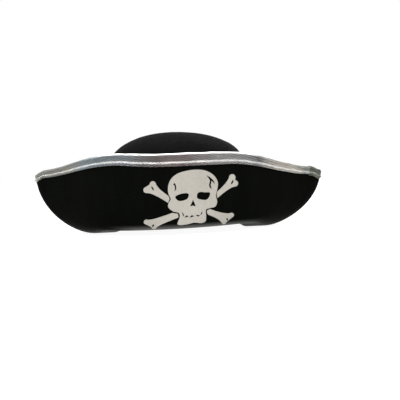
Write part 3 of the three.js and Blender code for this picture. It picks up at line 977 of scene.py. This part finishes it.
# Cracks and teeth, cut out of the film.
CRACKS = [
    [(-24.1, 16.0), (-22.2, 18.2), (-20.8, 15.2), (-20.4, 12.2), (-21.0, 9.4), (-23.1, 7.9),
     (-22.2, 10.4), (-22.1, 12.6), (-22.6, 14.9)],
    [(17.0, 24.6), (20.6, 22.4), (23.9, 19.3), (25.8, 16.6), (26.8, 12.4), (24.7, 15.5), (23.0, 17.2),
     (22.3, 15.0), (21.5, 12.4), (21.9, 10.0), (22.2, 6.9), (20.0, 9.4), (19.3, 12.2), (20.1, 15.0),
     (21.0, 17.6), (19.7, 20.6)],
]
TEETH = [
    [(-13.2, -24.9), (-10.2, -22.3), (-7.8, -23.9), (-10.2, -24.7)],
    [(-7.4, -25.4), (-4.0, -22.5), (-1.2, -24.3), (-4.2, -25.0)],
    [(0.3, -22.5), (3.3, -23.0), (6.3, -23.5), (3.4, -25.1)],
]
MOUTH_CORNERS = [
    [(-15.8, -18.0), (-14.7, -20.4), (-14.0, -22), (-13.6, -23.9)],
    [(6.6, -23.2), (7.6, -21.9), (8.4, -20.7), (9.0, -19.0)],
]
MOUTH_WIDTH = 1.4

# The heel's corners go from the bone's left side to its right as it points outwards, and the
# knuckles' middles are its right one and its left one. The mark is a cut between them.
BONES = {
    "bone_upper_left": {
        "heel": [(-31.9, -5.6), (-29.5, -1.2), (-30.9, 3)],
        "knuckles": [(-48.7, 18.1), (-56.9, 11.6)],
        "radius": 3.7, "notch": 35, "mark": [(-50.8, 15.5), (-48, 10.3)],
    },
    "bone_upper_right": {
        "heel": [(28.9, 3.6), (28.1, 0.2), (28.7, -4.3)], "knuckles": [(51.5, 12), (48.7, 19.7)],
        "radius": 3.9, "notch": 45, "mark": [(46.7, 11.3), (49.7, 16.5)],
    },
    "bone_lower_left": {
        "heel": [(-20.4, -24.4), (-20.6, -19.8), (-27.4, -18.2)],
        "knuckles": [(-59.6, -27.6), (-51, -33.4)],
        "radius": 3.3, "notch": 10, "mark": [(-50.9, -30.5), (-53.4, -34)],
    },
    "bone_lower_right": {
        "heel": [(18.8, -17), (15, -18.2), (14.6, -20.6), (15.8, -23.4)],
        "knuckles": [(34.7, -34), (44.8, -26.6)],
        "radius": 2.9, "notch": 8, "mark": [(38.3, -29.6), (39.4, -33.2)],
    },
}
MARK_WIDTH = 2.1
KNUCKLE_SWEEP = math.pi * 0.72

FILM_THICKNESS = 0.35
FILM_CLEARANCE = 0.06
FILM_STEP = 2.5
FILM_STEP_START = 0.013


def smooth_outline(places, steps=8):
    """A closed curve that passes smoothly through its places."""
    before, here, after, beyond = (np.roll(np.array(places, dtype=float), turn, axis=0)[:, None]
                                   for turn in (1, 0, -1, -2))
    t = np.linspace(0, 1, steps, endpoint=False)[None, :, None]
    curve = (2 * here + (after - before) * t + (2 * before - 5 * here + 4 * after - beyond) * t ** 2
             + (3 * here - before - 3 * after + beyond) * t ** 3) / 2
    return curve.reshape(-1, 2)


def sliver(points, widest):
    """A thin cut along a line of points, widest in the middle and pointed at both ends."""
    points = np.array(points, dtype=float)
    fine = np.linspace(0, len(points) - 1, 3 * len(points) + 1)
    points = np.stack([np.interp(fine, range(len(points)), points[:, axis]) for axis in (0, 1)], axis=-1)
    tangent = unit(np.gradient(points, axis=0))
    normal = np.stack([-tangent[:, 1], tangent[:, 0]], axis=-1)
    half = widest / 2 * np.sin(np.linspace(0, math.pi, len(points)))[:, None] ** 0.7
    return np.concatenate([points + normal * half, (points - normal * half)[1:-1][::-1]])


def arc(middle, radius, start, stop, steps=16):
    turn = np.linspace(start, stop, steps)
    return np.stack([middle[0] + radius * np.cos(turn), middle[1] + radius * np.sin(turn)], axis=-1)


def cross(a, b):
    return a[0] * b[1] - a[1] * b[0]


def bone_side(corner, middle, radius, angle, sign, axis, steps=10):
    """The shaft's side: it leaves along the bone and meets the knuckle's arc smoothly."""
    meet = middle + radius * np.array([math.cos(angle), math.sin(angle)])
    tangent = sign * np.array([-math.sin(angle), math.cos(angle)])
    control = meet - tangent * cross(meet - corner, axis) / cross(tangent, axis)
    t = np.linspace(0, 1, steps, endpoint=False)[:, None]
    return corner * (1 - t) ** 2 + 2 * control * t * (1 - t) + meet * t * t


def bone_outline(bone):
    """A shaft that finishes in two round knuckles, with a shallow notch between them."""
    sweep = KNUCKLE_SWEEP
    notch = math.radians(bone["notch"])
    heel = np.array(bone["heel"], dtype=float)
    knuckles = np.array(bone["knuckles"], dtype=float)
    radius = bone["radius"]
    axis = unit(knuckles.mean(axis=0) - (heel[0] + heel[-1]) / 2)
    turn = math.atan2(axis[1], axis[0])
    right = bone_side(heel[-1], knuckles[0], radius, turn - sweep, 1, axis)
    left = bone_side(heel[0], knuckles[1], radius, turn + sweep, -1, axis)
    return np.concatenate([
        heel[:-1], right,
        arc(knuckles[0], radius, turn - sweep, turn + notch),
        arc(knuckles[1], radius, turn - notch, turn + sweep),
        left[:0:-1],
    ])


def flat_mesh(loops):
    """Fills an outline with its holes and cuts it into small cells, so that it can bend."""
    curve = bpy.data.curves.new("outline", "CURVE")
    curve.dimensions = "2D"
    curve.fill_mode = "BOTH"
    for loop in loops:
        spline = curve.splines.new("POLY")
        spline.points.add(len(loop) - 1)
        for point, (x, y) in zip(spline.points, loop):
            point.co = (x, y, 0, 1)
        spline.use_cyclic_u = True
    holder = bpy.data.objects.new("outline", curve)
    mesh = bpy.data.meshes.new_from_object(holder)
    bpy.data.objects.remove(holder)
    bpy.data.curves.remove(curve)
    shape = bmesh.new()
    shape.from_mesh(mesh)
    bpy.data.meshes.remove(mesh)
    bmesh.ops.remove_doubles(shape, verts=shape.verts, dist=1e-4)
    spots = np.array([v.co[:2] for v in shape.verts])
    for axis in (0, 1):
        direction = Vector((1, 0, 0)) if axis == 0 else Vector((0, 1, 0))
        for place in np.arange(spots[:, axis].min(), spots[:, axis].max(), FILM_STEP):
            everything = shape.verts[:] + shape.edges[:] + shape.faces[:]
            bmesh.ops.bisect_plane(shape, geom=everything, dist=1e-4,
                                   plane_co=direction * (place + FILM_STEP_START), plane_no=direction)
    return shape


def make_film(name, node, loops):
    """Bends a flat outline onto the front wall, as a thin film."""
    shape = flat_mesh(loops)
    tilt = Matrix.Rotation(MOTIF_TILT, 2)
    flat = np.array([tilt @ Vector(v.co[:2]) for v in shape.verts])
    angle, rise = wall_place(flat[:, 0] + MOTIF_X, flat[:, 1] + MOTIF_Z)
    face = off_brim(angle, rise, FILM_CLEARANCE)
    for vertex, place in zip(shape.verts, face):
        vertex.co = Vector(place) * MM
    mesh = bpy.data.meshes.new(name)
    shape.to_mesh(mesh)
    shape.free()
    piece = add_to_scene(name, mesh)
    thicken_film(piece, angle, rise)
    place_piece(piece, "motif_film", node)


def thicken_film(piece, angle, rise):
    """Gives the film its thickness: a second face off the wall, and a rim round every outline."""
    shape = bmesh.new()
    shape.from_mesh(piece.data)
    base = list(shape.verts)
    faces = list(shape.faces)
    edges = [edge for edge in shape.edges if edge.is_boundary]
    lifts = [Vector(normal) * FILM_THICKNESS * MM for normal in brim_normal(angle, rise)]
    top = {v: shape.verts.new(v.co + lift) for v, lift in zip(base, lifts)}
    for face in faces:
        shape.faces.new([top[v] for v in face.verts])
    for edge in edges:
        a, b = edge.verts
        shape.faces.new([a, b, top[b], top[a]])
    bmesh.ops.recalc_face_normals(shape, faces=shape.faces)
    shape.to_mesh(piece.data)
    shape.free()


def make_motif():
    """The skull with its cut-outs, and four bone ends with a cut mark each."""
    holes = [smooth_outline(eye) for eye in EYES]
    holes += [np.array(places, dtype=float) for places in (NOSE, *CRACKS, *TEETH)]
    holes += [sliver(line, MOUTH_WIDTH) for line in MOUTH_CORNERS]
    make_film("skull_film", "skull_motif", [smooth_outline(SKULL), *holes])
    for node, bone in BONES.items():
        (ax, ay), (bx, by) = bone["mark"]
        mark = [(ax, ay), (ax * 0.6 + bx * 0.4 + 0.3, ay * 0.6 + by * 0.4), (bx, by)]
        make_film(node + "_film", node, [bone_outline(bone), sliver(mark, MARK_WIDTH)])


# ---- stage, lights and camera

FLOOR_HALF_SIZE = 3.0
FLOOR_CELLS = 40
FLOOR_GLOW = 0.94


def make_floor():
    """A plain pale floor."""
    mesh = bpy.data.meshes.new("floor")
    bed = bmesh.new()
    bmesh.ops.create_grid(bed, x_segments=FLOOR_CELLS, y_segments=FLOOR_CELLS, size=FLOOR_HALF_SIZE)
    bed.to_mesh(mesh)
    bed.free()
    floor = add_to_scene("floor", mesh)
    finish = Finish("floor", Roughness=0.8, Specular_IOR_Level=0.1)
    finish.surface.inputs["Emission Color"].default_value = (1, 1, 1, 1)
    finish.surface.inputs["Emission Strength"].default_value = FLOOR_GLOW
    grain = finish.noise(0.2, detail=2)
    mesh.materials.append(finish.done(finish.ramp(grain, (0.3, (0.20,)), (0.7, (0.21,)))))


def area_light(name, place, target, size, radiance):
    """A square soft box, whose power gives the wanted brightness to its face."""
    data = bpy.data.lights.new(name, "AREA")
    data.shape = "SQUARE"
    data.size = size
    data.energy = radiance * math.pi * size * size
    light = add_to_scene(name, data)
    light.location = place
    light.rotation_euler = (Vector(target) - Vector(place)).to_track_quat("-Z", "Y").to_euler()


# Brightness of the room by the sine of the height above the horizon.
SKY_STRENGTH = 4
SKY = [(0.20, 1.0), (0.32, 0.30), (0.45, 0.30), (0.60, 4.0)]
SOFT_BOX_PLACE = (-0.5, -0.4, 1.6)
SOFT_BOX_TARGET = (0, 0, 0.1)
SOFT_BOX_SIZE = 1.0
SOFT_BOX_RADIANCE = 4.0


def make_lights():
    """A white room: bright round the horizon and overhead, and dimmer between, with one soft box."""
    world = bpy.data.worlds.new("studio")
    bpy.context.scene.world = world
    world.use_nodes = True
    nodes, links = world.node_tree.nodes, world.node_tree.links
    direction = nodes.new("ShaderNodeTexCoord")
    split = nodes.new("ShaderNodeSeparateXYZ")
    room = nodes.new("ShaderNodeValToRGB")
    links.new(direction.outputs["Generated"], split.inputs[0])
    links.new(split.outputs[2], room.inputs[0])
    links.new(room.outputs[0], nodes["Background"].inputs["Color"])
    nodes["Background"].inputs["Strength"].default_value = SKY_STRENGTH
    stops = room.color_ramp.elements
    while len(stops) < len(SKY):
        stops.new(0.5)
    for stop, (height, brightness) in zip(stops, SKY):
        stop.position = height
        share = brightness / SKY_STRENGTH
        stop.color = (share, share, share, 1)
    area_light("top", SOFT_BOX_PLACE, SOFT_BOX_TARGET, SOFT_BOX_SIZE, SOFT_BOX_RADIANCE)
    bpy.context.scene.view_settings.view_transform = "Standard"


CAMERA_DISTANCE = 1.26
CAMERA_ELEVATION = math.radians(1.5)
CAMERA_ROLL = math.radians(2.5)
CAMERA_AIM_HEIGHT = 0.0621
LENS = 85.2
SENSOR = 36.0
AIM_RIGHT = 0.0229
AIM_DOWN = 0.0190


def make_camera():
    """The photograph's viewpoint: almost level, slightly rolled, the hat off centre."""
    data = bpy.data.cameras.new("camera")
    data.lens = LENS
    data.sensor_width = SENSOR
    camera = add_to_scene("camera", data)
    bpy.context.scene.camera = camera
    ahead = Vector((0, math.cos(CAMERA_ELEVATION), -math.sin(CAMERA_ELEVATION)))
    right = Vector((1, 0, 0))
    up = Vector((0, math.sin(CAMERA_ELEVATION), math.cos(CAMERA_ELEVATION)))
    camera.location = Vector((0, 0, CAMERA_AIM_HEIGHT)) - ahead * CAMERA_DISTANCE
    cos, sin = math.cos(CAMERA_ROLL), math.sin(CAMERA_ROLL)
    right, up = right * cos - up * sin, right * sin + up * cos
    ahead = (ahead + right * AIM_RIGHT - up * AIM_DOWN).normalized()
    right = ahead.cross(up).normalized()
    up = right.cross(ahead)
    turn = Matrix((right, up, -ahead)).transposed()
    camera.rotation_euler = turn.to_euler()


make_camera()
make_lights()
make_floor()
make_crown()
make_brim()
make_binding()
make_binding_stitches()
make_sweatband()
make_sweatband_stitches()
make_label()
make_tacks()
make_motif()
